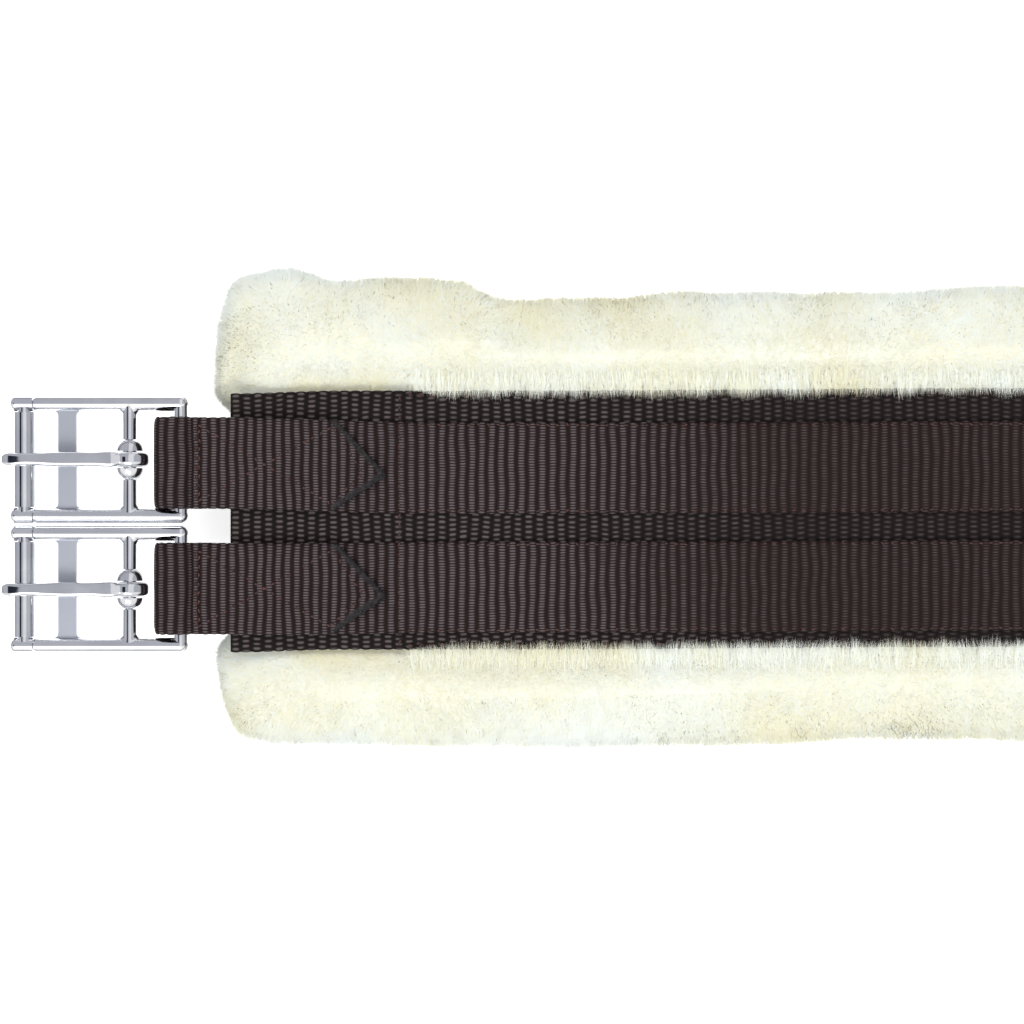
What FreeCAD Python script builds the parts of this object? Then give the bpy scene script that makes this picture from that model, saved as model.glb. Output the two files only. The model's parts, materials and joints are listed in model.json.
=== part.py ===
"""Saddle girth: two 25 mm straps on a wide base webbing, wrapped in fleece, four roller buckles.

Frame: +X along the girth towards its off end, +Z up, away from the horse's side. The origin is
under the middle of the girth, where it rests. The straps and the stitching are on top.
All lengths are in millimetres.
"""
import FreeCAD, Part
import Sketcher
import math
import os

V = FreeCAD.Vector
PAST = 1.0                       # cutting sketches reach this far past what they cut

# Driving dimensions. Every other length is worked out from these.
SIZES = {
    # the whole girth
    "end_bar_reach": 284.1,      # middle of the girth to the axis of a buckle's end bar
    "buckle_pitch": 35.0,        # front buckle's middle line to rear buckle's middle line
    "strap_pitch": 33.9,         # front strap's middle line to rear strap's middle line
    # fleece cover and the padding inside it
    "fleece_width": 124.0,
    "fleece_reach": 274.4,       # middle of the girth to the end of the fleece
    "fleece_thickness": 28.0,    # at the two side rolls
    "seat_height": 24.0,         # floor to the top of the fleece under the base webbing
    "seat_width": 73.0,          # flat seat between the two side rolls
    "roll_slope_radius": 15.5,   # the slope from a roll's top down to the seat
    "end_corner_radius": 16.0,   # fleece corners, seen from above
    "end_notch_depth": 4.0,      # the fleece steps back behind the buckles
    "padding_width": 92.0,
    "padding_length": 516.0,
    "padding_thickness": 9.0,
    "padding_height": 8.0,       # floor to the underside of the padding
    "padding_corner": 12.0,
    # webbing
    "base_width": 70.0,
    "base_reach": 270.8,
    "base_thickness": 1.8,
    "strap_width": 24.5,
    "strap_thickness": 1.6,
    "layer_gap": 0.1,            # between a strap and its own folded-back tab
    "loop_reach": 7.1,           # end bar's axis to the outside of the strap's loop
    "loop_pinch": 4.3,           # end bar's axis back to the stitch row that closes the loop
    "loop_return_radius": 2.25,  # reverse bend beside that stitch row, at mid-thickness
    "tab_point_reach": 228.8,    # middle of the girth to the point of a tab
    "tab_point_length": 13.8,
    "tab_point_flat": 0.8,       # width of the blunt tip of a tab's point
    # thread
    "thread_width": 0.6,
    "thread_height": 0.35,
    "cross_seam_reach": 225.0,
    "seam_inset": 1.6,           # seam rows, in from a webbing's edge
    "seam_step_gap": 0.2,        # a cross seam's runs, in from the step between strap and base
    "seam_stop": 1.5,            # long seams end this far short of the cross seams
    "point_stitch_inset": 3.5,   # tip of a tab's point to the tip of the V sewn inside it
    # buckle frame, all along X from the end bar's axis
    "inner_width": 26.2,
    "rail_radius": 2.05,
    "end_bar_radius": 1.9,
    "tongue_bar_reach": 13.75,
    "tongue_bar_radius": 1.95,
    "flat_bar_reach": 30.6,
    "flat_bar_width": 4.8,
    "flat_bar_thickness": 1.8,
    "flat_bar_drop": 1.7,        # rail axis down to the underside of the flat bar
    "bar_flare": 1.3,
    "roller_reach": 42.2,
    "cap_start": 39.4,
    "cap_end": 45.9,
    "cap_radius": 2.15,
    "cap_rounding": 1.4,
    "neck_radius": 1.8,
    "neck_length": 0.5,
    "collar_radius": 3.8,
    "collar_length": 3.2,
    "collar_gap": 4.6,
    "collar_rounding": 3.8,
    # roller
    "axle_radius": 1.93,
    "roller_radius": 3.1,
    "roller_bore_radius": 2.0,
    "roller_length": 25.6,
    "roller_seam": 0.3,
    # tongue, along X from the tongue bar's axis
    "tongue_width": 4.1,
    "tongue_bore_radius": 2.12,
    "eye_radius": 5.3,
    "eye_rounding": 1.4,
    "shank_bottom": 3.25,        # just clear of the roller
    "shank_thickness": 2.3,
    "tongue_reach": 33.9,
}

# Sections of a tongue's shank, from its eye to its tip. Each is a share of the tongue's reach, of its
# width and of the shank's thickness, and the height of its middle as a share of that thickness.
SHANK = [(0.0, 0.86, 0.9, 0.28), (0.1, 0.98, 1.0, 0.44), (0.22, 1.0, 1.0, 0.5), (0.45, 1.0, 1.02, 0.52),
         (0.7, 0.86, 0.98, 0.5), (0.82, 0.8, 0.96, 0.49), (0.91, 0.9, 0.9, 0.45), (0.965, 0.82, 0.74, 0.36),
         (0.99, 0.6, 0.5, 0.28), (1.0, 0.36, 0.26, 0.24)]

doc = FreeCAD.newDocument("SaddleGirth")
sheet = doc.addObject("Spreadsheet::Sheet", "Sizes")
for row, (alias, value) in enumerate(SIZES.items(), start=1):
    sheet.set(f"A{row}", alias.replace("_", " "))
    sheet.set(f"B{row}", str(value))
    sheet.setAlias(f"B{row}", alias)
doc.recompute()


class Size:
    """A length from the sheet: its number, and the expression that binds a property to it."""

    def __init__(self, number, text):
        self.number = number
        self.text = text

    def __add__(self, other):
        other = as_size(other)
        return Size(self.number + other.number, f"({self.text} + {other.text})")

    def __sub__(self, other):
        other = as_size(other)
        return Size(self.number - other.number, f"({self.text} - {other.text})")

    def __mul__(self, factor):
        return Size(self.number * factor, f"({self.text} * {factor})")

    def __truediv__(self, factor):
        return Size(self.number / factor, f"({self.text} / {factor})")

    def __neg__(self):
        return Size(-self.number, f"(-1 * {self.text})")


def as_size(value):
    return value if isinstance(value, Size) else Size(float(value), str(value))


def size(alias):
    return Size(float(sheet.get(alias)), f"Sizes.{alias}")


def bind(obj, prop, value):
    obj.setExpression(prop, as_size(value).text)


# ---------------------------------------------------------------- sketches and features

def new_body(label):
    body = doc.addObject("PartDesign::Body", label)
    body.Label = label
    return body


def new_sketch(body, name, role, shift=None):
    """A sketch on one of the body's origin planes, moved by {"x" or "y" or "z": size}."""
    sketch = body.newObject("Sketcher::SketchObject", name)
    plane = next(f for f in body.Origin.OriginFeatures if f.Role == role)
    sketch.AttachmentSupport = [(plane, "")]
    sketch.MapMode = "FlatFace"
    for axis, value in (shift or {}).items():
        bind(sketch, f"AttachmentOffset.Base.{axis}", value)
    return sketch


def dimension(sketch, kind, *args, value):
    """Adds one driving dimension and binds it to the sheet."""
    value = as_size(value)
    index = sketch.addConstraint(Sketcher.Constraint(kind, *args, value.number))
    name = f"{kind}{index}"
    sketch.renameConstraint(index, name)
    sketch.setExpression(f"Constraints.{name}", value.text)


def pin(sketch, geometry, position, x, y):
    """Fixes one point of a sketch element by its two coordinates."""
    for kind, value, axis in (("DistanceX", x, -2), ("DistanceY", y, -1)):
        if as_size(value).number == 0:
            sketch.addConstraint(Sketcher.Constraint("PointOnObject", geometry, position, axis))
        else:
            dimension(sketch, kind, -1, 1, geometry, position, value=value)


def add_circle(sketch, x, y, radius):
    centre = V(as_size(x).number, as_size(y).number, 0)
    index = sketch.addGeometry(Part.Circle(centre, V(0, 0, 1), as_size(radius).number), False)
    pin(sketch, index, 3, x, y)
    dimension(sketch, "Radius", index, value=radius)


def arc_through(start, end, radius, side):
    """An arc that bulges to the left (side 1) or right (side -1) of the way from start to end."""
    chord = end - start
    half = chord.Length / 2
    rise = radius - math.sqrt(radius * radius - half * half)
    normal = V(-chord.y, chord.x, 0).normalize()
    return Part.Arc(start, (start + end) / 2 + normal * rise * side, end)


def add_outline(sketch, corners):
    """A closed outline. A corner is (x, y), or (x, y, radius, side) where an arc leaves it."""
    points = [V(as_size(c[0]).number, as_size(c[1]).number, 0) for c in corners]
    indices = []
    for i, corner in enumerate(corners):
        start, end = points[i], points[(i + 1) % len(points)]
        if len(corner) == 4:
            edge = arc_through(start, end, as_size(corner[2]).number, corner[3])
        else:
            edge = Part.LineSegment(start, end)
        indices.append(sketch.addGeometry(edge, False))
    for i, corner in enumerate(corners):
        # an arc's ends may be stored in the other order
        here = end_at(sketch, indices[i], points[i])
        before = end_at(sketch, indices[i - 1], points[i])
        sketch.addConstraint(Sketcher.Constraint("Coincident", indices[i], here, indices[i - 1], before))
        pin(sketch, indices[i], here, corner[0], corner[1])
        if len(corner) == 4:
            dimension(sketch, "Radius", indices[i], value=corner[2])


def end_at(sketch, index, point):
    """1 or 2: which end of a sketch element lies at the point."""
    first = sketch.getPoint(index, 1)
    return 1 if (first - point).Length < 1e-6 else 2


def pad(body, sketch, length, midplane=False):
    feature = body.newObject("PartDesign::Pad", sketch.Name + "_pad")
    feature.Profile = sketch
    bind(feature, "Length", length)
    feature.Midplane = midplane
    return feature


def revolve(body, sketch, axis):
    feature = body.newObject("PartDesign::Revolution", sketch.Name + "_turned")
    feature.Profile = sketch
    feature.ReferenceAxis = (sketch, [axis])
    feature.Angle = 360
    return feature


def cut(body, sketch, length):
    """A pocket, which must take material away."""
    doc.recompute()
    before = body.Shape.Volume
    feature = body.newObject("PartDesign::Pocket", sketch.Name + "_cut")
    feature.Profile = sketch
    bind(feature, "Length", length)
    doc.recompute()
    if body.Shape.Volume > before - 1e-3:
        raise RuntimeError(f"{feature.Name} cuts nothing")
    return feature


# ---------------------------------------------------------------- heights and places

base_top = size("seat_height") + size("base_thickness")
run_middle = base_top + size("strap_thickness") / 2
fold_height = base_top + size("strap_thickness") + size("layer_gap") / 2
tab_middle = fold_height * 2 - run_middle
tab_top = tab_middle + size("strap_thickness") / 2
strap_top = base_top + size("strap_thickness")
rail_offset = size("inner_width") / 2 + size("rail_radius")

ENDS = {"near": -1, "off": 1}
SIDES = {"front": 1, "rear": -1}


def place(obj, x, y, z):
    for axis, value in (("x", x), ("y", y), ("z", z)):
        bind(obj, f"Placement.Base.{axis}", value)


def place_at_buckle(body, end, side, reach):
    """Puts a buckle's piece at its end of the girth, with its own +X pointing outward."""
    if ENDS[end] < 0:
        body.Placement.Rotation = FreeCAD.Rotation(V(0, 0, 1), 180)
    place(body, (size("end_bar_reach") + reach) * ENDS[end],
          size("buckle_pitch") / 2 * SIDES[side], fold_height)


# ---------------------------------------------------------------- buckle

def buckle_frame(label):
    """One casting: two rails, end bar, tongue bar with collars, flat bar, roller axle and caps."""
    body = new_body(label)

    end_bar = new_sketch(body, label + "_end_bar", "XY_Plane")
    radius = size("end_bar_radius")
    tip = rail_offset + radius
    add_outline(end_bar, [(0, -tip, radius, -1), (radius, -rail_offset), (radius, rail_offset, radius, -1),
                          (0, tip)])
    revolve(body, end_bar, "V_Axis")

    rails = new_sketch(body, label + "_rails", "YZ_Plane")
    necks = new_sketch(body, label + "_necks", "YZ_Plane")
    balls = {}
    for name, side in SIDES.items():
        add_circle(rails, rail_offset * side, 0, size("rail_radius"))
        add_circle(necks, rail_offset * side, 0, size("neck_radius"))
        balls[name] = new_sketch(body, f"{label}_{name}_corner", "XY_Plane", {"y": rail_offset * side})
    pad(body, rails, size("cap_start") - size("neck_length"))
    pad(body, necks, size("roller_reach"))
    for corner in balls.values():
        # the rail's rounded end, where it meets the end bar
        radius = size("rail_radius")
        add_outline(corner, [(-radius, 0, radius, 1), (0, radius), (size("bar_flare"), radius),
                             (size("bar_flare"), 0)])
        revolve(body, corner, "H_Axis")

    tongue_bar = new_sketch(body, label + "_tongue_bar", "XY_Plane", {"x": size("tongue_bar_reach")})
    radius = size("tongue_bar_radius")
    flare, wide = size("bar_flare"), size("collar_radius")
    inner = size("inner_width") / 2
    near_face = size("collar_gap") / 2
    far_face = near_face + size("collar_length")
    rounding = size("collar_rounding")
    add_outline(tongue_bar, [
        (0, -rail_offset), (radius, -rail_offset), (radius, -far_face, rounding, -1),
        (wide, -near_face), (radius, -near_face), (radius, near_face), (wide, near_face, rounding, -1),
        (radius, far_face), (radius, rail_offset), (0, rail_offset)])
    turned = revolve(body, tongue_bar, "V_Axis")
    doc.recompute()
    cast_corner = body.newObject("PartDesign::Fillet", label + "_cast_corner")
    cast_corner.Base = (turned, joining_edges(turned.Shape, size("tongue_bar_reach").number))
    bind(cast_corner, "Radius", size("bar_flare"))

    flat_bar = new_sketch(body, label + "_flat_bar", "XY_Plane",
                          {"x": size("flat_bar_reach"), "z": -size("flat_bar_drop")})
    half = size("flat_bar_width") / 2
    foot, outer = inner - flare, inner + flare
    add_outline(flat_bar, [
        (-half - flare, -inner, flare, -1), (-half, -foot), (-half, foot, flare, -1),
        (-half - flare, inner), (-half - flare, outer), (half + flare, outer),
        (half + flare, inner, flare, -1), (half, foot), (half, -foot, flare, -1),
        (half + flare, -inner), (half + flare, -outer), (-half - flare, -outer)])
    pad(body, flat_bar, size("flat_bar_thickness"))

    axle = new_sketch(body, label + "_axle", "XZ_Plane")
    add_circle(axle, size("roller_reach"), 0, size("axle_radius"))
    pad(body, axle, rail_offset * 2, midplane=True)

    start, end = size("cap_start"), size("cap_end")
    radius, rounding = size("cap_radius"), size("cap_rounding")
    edge = rounding / 4
    for name, side in SIDES.items():
        cap = new_sketch(body, f"{label}_{name}_cap", "XY_Plane", {"y": rail_offset * side})
        add_outline(cap, [(start, 0), (start, radius - edge), (start + edge, radius),
                          (end - rounding, radius, rounding, 1), (end, radius - rounding), (end, 0)])
        revolve(body, cap, "H_Axis")
    return body


def joining_edges(shape, reach):
    """The names of the edges where a cross bar at x = reach runs into the two rails."""
    names = []
    for index, edge in enumerate(shape.Edges, start=1):
        middle = edge.CenterOfMass
        across = abs(middle.y) - size("inner_width").number / 2
        if 0 < across < size("rail_radius").number and abs(middle.x - reach) < size("rail_radius").number:
            names.append(f"Edge{index}")
    return names


def tongue(label):
    """Forged tongue: an eye round the tongue bar and a shank that lies across the roller."""
    body = new_body(label)
    eye = new_sketch(body, label + "_eye", "XY_Plane")
    bore, outer = size("tongue_bore_radius"), size("eye_radius")
    half, rounding = size("tongue_width") / 2, size("eye_rounding")
    add_outline(eye, [(bore, -half), (outer - rounding, -half, rounding, -1), (outer, rounding - half),
                      (outer, half - rounding, rounding, -1), (outer - rounding, half), (bore, half)])
    revolve(body, eye, "V_Axis")

    sections = []
    for i, (along, wide, high, lift) in enumerate(SHANK):
        section = new_sketch(body, f"{label}_shank{i}", "YZ_Plane", {"z": size("tongue_reach") * along})
        half_width = size("tongue_width") * (wide / 2)
        half_height = size("shank_thickness") * (high / 2)
        middle = size("shank_bottom") + size("shank_thickness") * lift
        corner = half_height * 0.9
        y, z = half_width - corner, half_height - corner
        add_outline(section, [
            (-y, middle - half_height), (y, middle - half_height, corner, -1),
            (half_width, middle - z), (half_width, middle + z, corner, -1),
            (y, middle + half_height), (-y, middle + half_height, corner, -1),
            (-half_width, middle + z), (-half_width, middle - z, corner, -1)])
        sections.append(section)
    shank = body.newObject("PartDesign::AdditiveLoft", label + "_shank")
    shank.Profile = sections[0]
    shank.Sections = sections[1:]
    return body


def roller(label):
    """A strip of steel rolled into a tube, with its seam underneath."""
    body = new_body(label)
    section = new_sketch(body, label + "_section", "XZ_Plane")
    add_circle(section, 0, 0, size("roller_radius"))
    add_circle(section, 0, 0, size("roller_bore_radius"))
    pad(body, section, size("roller_length"), midplane=True)
    seam = new_sketch(body, label + "_seam", "XY_Plane")
    half, reach = size("roller_seam") / 2, size("roller_length") / 2 + PAST
    add_outline(seam, [(-half, -reach), (half, -reach), (half, reach), (-half, reach)])
    cut(body, seam, size("roller_radius") * 2)
    return body


# ---------------------------------------------------------------- webbing

def strap(label):
    """One length of webbing, looped round a buckle's end bar at each end and folded back."""
    body = new_body(label)
    spine = new_sketch(body, label + "_spine", "XZ_Plane")
    back = size("loop_return_radius").number
    lift = (tab_middle - fold_height).number
    pinch = (size("end_bar_reach") - size("loop_pinch")).number
    nose = (size("end_bar_reach") + size("loop_reach") - size("strap_thickness") / 2).number
    # main loop: tangent to both reverse bends, and reaching the nose
    span, drop = nose - pinch, lift + back
    loop = (span * span + drop * drop - back * back) / (2 * (span + back))
    loop_x = nose - loop
    share = loop / (loop + back)
    fold = fold_height.number
    touch = V(loop_x + (pinch - loop_x) * share, drop * share, 0)
    tip = size("tab_point_reach").number
    slope = math.atan2(drop, loop_x - pinch)

    def return_bend(sign, up):
        """The reverse bend between a flat layer and the loop."""
        middle = V(pinch + back * math.sin((math.pi / 2 - slope) / 2),
                   lift + back * (1 - math.cos((math.pi / 2 - slope) / 2)), 0)
        points = [V(pinch, lift, 0), middle, touch]
        points = [V(p.x * sign, fold + p.y * up, 0) for p in points]
        return Part.Arc(*points)

    def add(edge):
        return spine.addGeometry(edge, False)

    upper, lower = fold + lift, fold - lift
    chain = []
    for sign in (-1, 1):
        tab_line = add(Part.LineSegment(V(tip * sign, upper, 0), V(pinch * sign, upper, 0)))
        rise = add(return_bend(sign, 1))
        round_bar = add(Part.Arc(V(touch.x * sign, fold + touch.y, 0), V(nose * sign, fold, 0),
                                 V(touch.x * sign, fold - touch.y, 0)))
        fall = add(return_bend(sign, -1))
        chain.append((sign, tab_line, rise, round_bar, fall))
    run = add(Part.LineSegment(V(-pinch, lower, 0), V(pinch, lower, 0)))

    def tangent(first, second, point):
        spine.addConstraint(Sketcher.Constraint(
            "Tangent", first, end_at(spine, first, point), second, end_at(spine, second, point)))

    for sign, tab_line, rise, round_bar, fall in chain:
        tangent(tab_line, rise, V(pinch * sign, upper, 0))
        tangent(rise, round_bar, V(touch.x * sign, fold + touch.y, 0))
        tangent(round_bar, fall, V(touch.x * sign, fold - touch.y, 0))
        tangent(fall, run, V(pinch * sign, lower, 0))
        dimension(spine, "Radius", rise, value=size("loop_return_radius"))
        dimension(spine, "Radius", fall, value=size("loop_return_radius"))
        pinch_x = size("end_bar_reach") - size("loop_pinch")
        pin(spine, tab_line, 1, size("tab_point_reach") * sign, tab_middle)
        pin(spine, tab_line, 2, pinch_x * sign, tab_middle)
        pin(spine, run, 1 if sign < 0 else 2, pinch_x * sign, run_middle)

    section = new_sketch(body, label + "_section", "YZ_Plane", {"z": -size("tab_point_reach")})
    half, thick = size("strap_width") / 2, size("strap_thickness") / 2
    add_outline(section, [(-half, tab_middle - thick), (half, tab_middle - thick),
                          (half, tab_middle + thick), (-half, tab_middle + thick)])
    swept = body.newObject("PartDesign::AdditivePipe", label + "_swept")
    swept.Profile = section
    swept.Spine = spine

    point = new_sketch(body, label + "_point", "XY_Plane", {"z": tab_top + PAST})
    reach, blunt = size("tab_point_reach"), size("tab_point_flat") / 2
    shoulder = reach + size("tab_point_length")
    for end in ENDS.values():
        for side in SIDES.values():
            add_outline(point, [((reach - PAST) * end, blunt * side), (reach * end, blunt * side),
                                (shoulder * end, half * side), (shoulder * end, (half + PAST) * side),
                                ((reach - PAST) * end, (half + PAST) * side)])
    cut(body, point, tab_top + PAST - fold_height)
    return body


def slab(label, half_length, half_width, bottom, thickness):
    """A flat rectangular layer."""
    body = new_body(label)
    plan = new_sketch(body, label + "_plan", "XY_Plane", {"z": bottom})
    add_outline(plan, [(-half_length, -half_width), (half_length, -half_width),
                       (half_length, half_width), (-half_length, half_width)])
    pad(body, plan, thickness)
    return body


# ---------------------------------------------------------------- fleece

def rounded_plan(sketch, half_length, half_width, corner):
    """A rectangle with round corners."""
    x, y = half_length - corner, half_width - corner
    add_outline(sketch, [
        (-x, -half_width), (x, -half_width, corner, -1), (half_length, -y), (half_length, y, corner, -1),
        (x, half_width), (-x, half_width, corner, -1), (-half_length, y), (-half_length, -y, corner, -1)])


def fleece_cover(label):
    """Pile fabric wrapped all round the padding, with a roll along each side."""
    body = new_body(label)
    section = new_sketch(body, label + "_section", "YZ_Plane")
    radius = size("fleece_thickness") / 2
    side = size("fleece_width") / 2
    ledge = size("seat_width") / 2
    crest = side - radius
    slope = size("roll_slope_radius")
    height, seat = size("fleece_thickness"), size("seat_height")
    add_outline(section, [
        (-crest, 0), (crest, 0, radius, -1), (side, radius, radius, -1),
        (crest, height, slope, -1), (ledge, seat), (-ledge, seat, slope, -1),
        (-crest, height, radius, -1), (-side, radius, radius, -1)])
    pad(body, section, size("fleece_reach") * 2, midplane=True)

    trim = new_sketch(body, label + "_ends", "XY_Plane", {"z": height + PAST})
    reach, corner = size("fleece_reach"), size("end_corner_radius")
    notch = size("end_notch_depth")
    for end in ENDS.values():
        for across in SIDES.values():
            add_outline(trim, [
                ((reach - corner) * end, side * across, corner, end * across),
                (reach * end, (side - corner) * across), ((reach + PAST) * end, (side - corner) * across),
                ((reach + PAST) * end, (side + PAST) * across),
                ((reach - corner) * end, (side + PAST) * across)])
        add_outline(trim, [((reach - notch) * end, -ledge), ((reach + PAST) * end, -ledge),
                           ((reach + PAST) * end, ledge), ((reach - notch) * end, ledge)])
    cut(body, trim, height + PAST * 2)

    hollow = new_sketch(body, label + "_hollow", "XY_Plane",
                        {"z": size("padding_height") + size("padding_thickness")})
    rounded_plan(hollow, size("padding_length") / 2, size("padding_width") / 2, size("padding_corner"))
    cut(body, hollow, size("padding_thickness"))
    return body


def padding(label):
    body = new_body(label)
    plan = new_sketch(body, label + "_plan", "XY_Plane", {"z": size("padding_height")})
    rounded_plan(plan, size("padding_length") / 2, size("padding_width") / 2, size("padding_corner"))
    pad(body, plan, size("padding_thickness"))
    return body


# ---------------------------------------------------------------- thread

def thread_run(name, start, end):
    """One straight run of sewing thread lying on a surface, as a thin bar."""
    bar = doc.addObject("Part::Box", name)
    way = end - start
    bind(bar, "Width", size("thread_width"))
    bind(bar, "Height", size("thread_height"))
    bar.Length = way.Length
    turn = FreeCAD.Rotation(V(1, 0, 0), way)
    bar.Placement = FreeCAD.Placement(start - turn.multVec(V(0, size("thread_width").number / 2, 0)), turn)
    return bar


def sewn(label, runs):
    """A node of thread: every run in one piece where they meet, separate where they don't."""
    bars = [thread_run(f"{label}_run{i}", start, end) for i, (start, end) in enumerate(runs)]
    thread = doc.addObject("Part::MultiFuse", label)
    thread.Label = label
    thread.Shapes = bars
    return thread


def box_stitching(label, end, side):
    """The sewing that closes a strap's loop: a cross row, an X and a V inside the tab's point."""
    inset = size("seam_inset").number
    middle = size("strap_pitch").number / 2 * side
    height = tab_top.number
    half = size("strap_width").number / 2 - inset
    # the cross row lies on the flat, clear of where the tab starts to bend up
    row = (size("end_bar_reach") - size("loop_pinch") - size("thread_width")).number
    shoulder = (size("tab_point_reach") + size("tab_point_length")).number
    point = (size("tab_point_reach") + size("point_stitch_inset")).number

    def at(x, y):
        return V(x * end, middle + y, height)

    return sewn(label, [
        (at(row, -half), at(row, half)),
        (at(row, -half), at(shoulder, half)), (at(row, half), at(shoulder, -half)),
        (at(shoulder, half), at(point, 0)), (at(shoulder, -half), at(point, 0))])


def cross_seam(label, end):
    """One row of stitches right across the base webbing and both straps."""
    x = size("cross_seam_reach").number * end
    edge = size("base_width").number / 2
    width = size("strap_width").number / 2
    pitch = size("strap_pitch").number / 2
    low, high = base_top.number, strap_top.number
    levels = [(-edge, -pitch - width, low), (-pitch - width, -pitch + width, high),
              (-pitch + width, pitch - width, low), (pitch - width, pitch + width, high),
              (pitch + width, edge, low)]
    gap = size("seam_step_gap").number
    return sewn(label, [(V(x, y1 + gap, z), V(x, y2 - gap, z)) for y1, y2, z in levels])


def long_seams(label, rows, z):
    """Rows of stitches along the girth, between the two cross seams."""
    reach = (size("cross_seam_reach") - size("seam_stop")).number
    return sewn(label, [(V(-reach, y, z), V(reach, y, z)) for y in rows])


# ---------------------------------------------------------------- the girth

nodes = []
cover = fleece_cover("fleece_cover")
core = padding("padding")
base = slab("base_webbing", size("base_reach"), size("base_width") / 2, size("seat_height"),
            size("base_thickness"))
nodes += [cover, core, base]

seam_inset = size("seam_inset").number
strap_half = size("strap_width").number / 2 - seam_inset
for side_name, side in SIDES.items():
    web = strap(f"{side_name}_strap")
    bind(web, "Placement.Base.y", size("strap_pitch") / 2 * side)
    middle = size("strap_pitch").number / 2 * side
    seams = long_seams(f"{side_name}_strap_seams", [middle - strap_half, middle + strap_half],
                       strap_top.number)
    nodes += [web, seams]
base_row = size("base_width").number / 2 - seam_inset
nodes.append(long_seams("base_webbing_seams", [-base_row, base_row], base_top.number))

for end_name, end in ENDS.items():
    nodes.append(cross_seam(f"{end_name}_cross_seam", end))
    for side_name, side in SIDES.items():
        prefix = f"{end_name}_{side_name}"
        frame = buckle_frame(f"{prefix}_buckle_frame")
        place_at_buckle(frame, end_name, side_name, 0)
        pin_tongue = tongue(f"{prefix}_tongue")
        place_at_buckle(pin_tongue, end_name, side_name, size("tongue_bar_reach"))
        tube = roller(f"{prefix}_roller")
        place_at_buckle(tube, end_name, side_name, size("roller_reach"))
        nodes += [frame, pin_tongue, tube, box_stitching(f"{prefix}_box_stitching", end, side)]

doc.recompute()
for obj in doc.Objects:
    if "Invalid" in obj.State or "Error" in obj.State:
        raise RuntimeError(f"{obj.Name}: {obj.State}")
os.makedirs("parts", exist_ok=True)
for node in nodes:
    if node.Shape.isNull() or not node.Shape.isValid():
        raise RuntimeError(f"{node.Label}: the shape is not valid")
for node in nodes:
    node.Shape.exportStep(f"parts/{node.Label}.step")
    box = node.Shape.BoundBox
    print(f"{node.Label:32s} {len(node.Shape.Solids)} solid, {node.Shape.Volume:10.1f} mm3,"
          f" x {box.XMin:.1f}..{box.XMax:.1f} y {box.YMin:.1f}..{box.YMax:.1f}"
          f" z {box.ZMin:.1f}..{box.ZMax:.1f}")
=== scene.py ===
"""Saddle girth: polished roller buckles, ribbed brown webbing with its sewing, and a deep cream fleece.

The CAD frame is in metres and so is every Blender piece. Shapes are worked out in millimetres here
and scaled by MM as each mesh is made.
"""

import json
import math

import bpy
import numpy as np
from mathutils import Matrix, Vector


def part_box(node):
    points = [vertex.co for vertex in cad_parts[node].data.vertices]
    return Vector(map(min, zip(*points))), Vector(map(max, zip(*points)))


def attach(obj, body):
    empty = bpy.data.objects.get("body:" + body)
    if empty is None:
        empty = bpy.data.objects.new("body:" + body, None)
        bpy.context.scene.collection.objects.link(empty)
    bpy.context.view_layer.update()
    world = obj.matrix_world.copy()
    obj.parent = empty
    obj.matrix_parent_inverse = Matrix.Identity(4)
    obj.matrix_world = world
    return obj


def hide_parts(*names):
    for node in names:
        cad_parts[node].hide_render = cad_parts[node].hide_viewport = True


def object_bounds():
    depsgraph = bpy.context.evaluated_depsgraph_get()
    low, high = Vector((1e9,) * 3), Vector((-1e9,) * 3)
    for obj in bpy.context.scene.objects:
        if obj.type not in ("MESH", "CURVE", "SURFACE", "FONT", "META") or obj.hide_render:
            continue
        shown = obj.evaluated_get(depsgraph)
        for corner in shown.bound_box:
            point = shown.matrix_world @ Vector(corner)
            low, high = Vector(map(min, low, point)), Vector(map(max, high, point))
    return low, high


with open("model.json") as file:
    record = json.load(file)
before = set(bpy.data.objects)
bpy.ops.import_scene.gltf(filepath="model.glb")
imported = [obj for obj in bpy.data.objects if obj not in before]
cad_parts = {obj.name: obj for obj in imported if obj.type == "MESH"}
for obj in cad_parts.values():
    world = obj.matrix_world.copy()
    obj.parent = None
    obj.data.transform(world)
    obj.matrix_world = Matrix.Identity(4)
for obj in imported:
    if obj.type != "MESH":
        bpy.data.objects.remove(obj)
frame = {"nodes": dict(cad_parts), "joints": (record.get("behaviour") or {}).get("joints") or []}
CAD_LOW, CAD_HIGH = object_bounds()

MM = 0.001
ENDS = {"near": -1, "off": 1}
SIDES = {"front": 1, "rear": -1}


def low_mm(node):
    return np.array(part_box(node)[0]) / MM


def high_mm(node):
    return np.array(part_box(node)[1]) / MM


# ---------------------------------------------------------------- sizes, in millimetres

hinges = {joint["name"]: joint for joint in frame["joints"]}
END_BAR = np.array(hinges["off_front_buckle_swing"]["pos_m"]) / MM
FOLD_Z = float(END_BAR[2])
BASE_TOP = float(high_mm("base_webbing")[2])
BASE_BOTTOM = float(low_mm("base_webbing")[2])
BASE_REACH = float(high_mm("base_webbing")[0])
BASE_HALF = float(high_mm("base_webbing")[1])
STRAP_LOW, STRAP_HIGH = low_mm("front_strap"), high_mm("front_strap")
STRAP_HALF = float(STRAP_HIGH[1] - STRAP_LOW[1]) / 2
STRAP_MIDDLE = float(STRAP_HIGH[1] + STRAP_LOW[1]) / 2
LOOP_NOSE = float(STRAP_HIGH[0])
CROSS_SEAM_X = float((low_mm("off_cross_seam")[0] + high_mm("off_cross_seam")[0]) / 2)
TAB_TIP = float(low_mm("off_front_box_stitching")[0]) - 3.4
STRAP_THICK = 1.6
LAYER = 0.85                     # fold height to the middle of either layer
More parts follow.
